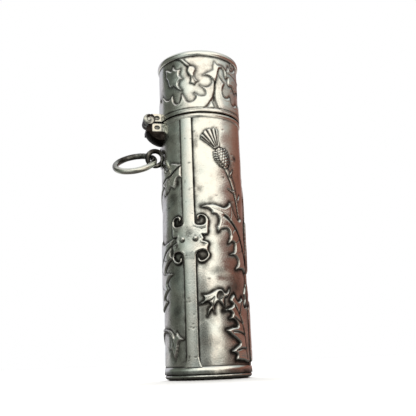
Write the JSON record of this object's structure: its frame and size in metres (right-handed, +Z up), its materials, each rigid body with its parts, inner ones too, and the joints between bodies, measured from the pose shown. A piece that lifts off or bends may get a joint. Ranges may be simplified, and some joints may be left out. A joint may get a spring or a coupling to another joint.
{
  "type": "needle case",
  "caption": "Upright silver needle case: a stamped tube with a hinged lid, a gilt liner, an applied strap on each side and a ring to hang it by.",
  "frame": {"origin": "centre of the flat under the base", "axes": "+Z up the tube toward the lid; the hinge and ring are on the -X side; the front strap is 31 degrees round from -Y toward the hinge"},
  "size_m": [0.027, 0.0172, 0.0664],
  "materials": {
    "body_sheet": "die-stamped silver sheet, aged, dark in the recesses",
    "lid_sheet": "die-stamped silver sheet, aged, dark in the recesses",
    "base_sheet": "plain silver sheet, softly scratched",
    "polished_band": "silver band polished by handling",
    "strap_silver": "applied silver strap, worn on its high points",
    "hinge_silver": "cast silver, dark in the corners",
    "pin_wire": "drawn wire, filed flush",
    "ring_silver": "drawn silver wire, worn smooth",
    "gilt_liner": "thin gilding over smooth silver"
  },
  "bodies": {
    "case_body": {"body_shell": "body_sheet", "base_disc": "base_sheet", "base_band": "polished_band", "body_liner": "gilt_liner", "liner_floor": "gilt_liner", "body_mouth_band": "polished_band", "front_strap": "strap_silver", "back_strap": "strap_silver", "front_cartouche": "strap_silver", "back_cartouche": "strap_silver", "strap_studs": "polished_band", "hinge_bracket": "hinge_silver", "hinge_body_lug": "hinge_silver", "hinge_body_knuckles": "hinge_silver", "hinge_pin": "pin_wire", "ring_eye_plate": "hinge_silver", "ring_eye": "ring_silver"},
    "lid": {"lid_shell": "lid_sheet", "lid_liner": "gilt_liner", "lid_top_disc": "base_sheet", "lid_top_bead": "polished_band", "lid_mouth_band": "polished_band", "hinge_lid_lug": "hinge_silver", "hinge_lid_knuckle": "hinge_silver"},
    "ring": {"suspension_ring": "ring_silver"}
  },
  "joints": [
    {"name": "lid_hinge", "type": "hinge", "parent": "case_body", "child": "lid", "pos_m": [-0.011, 0, 0.0526], "axis": [0, -1, 0], "range_deg": [0, 120]},
    {"name": "ring_swing", "type": "hinge", "parent": "case_body", "child": "ring", "pos_m": [-0.00965, 0, 0.0446], "axis": [0, 1, 0], "range_deg": [-38, 45]}
  ]
}
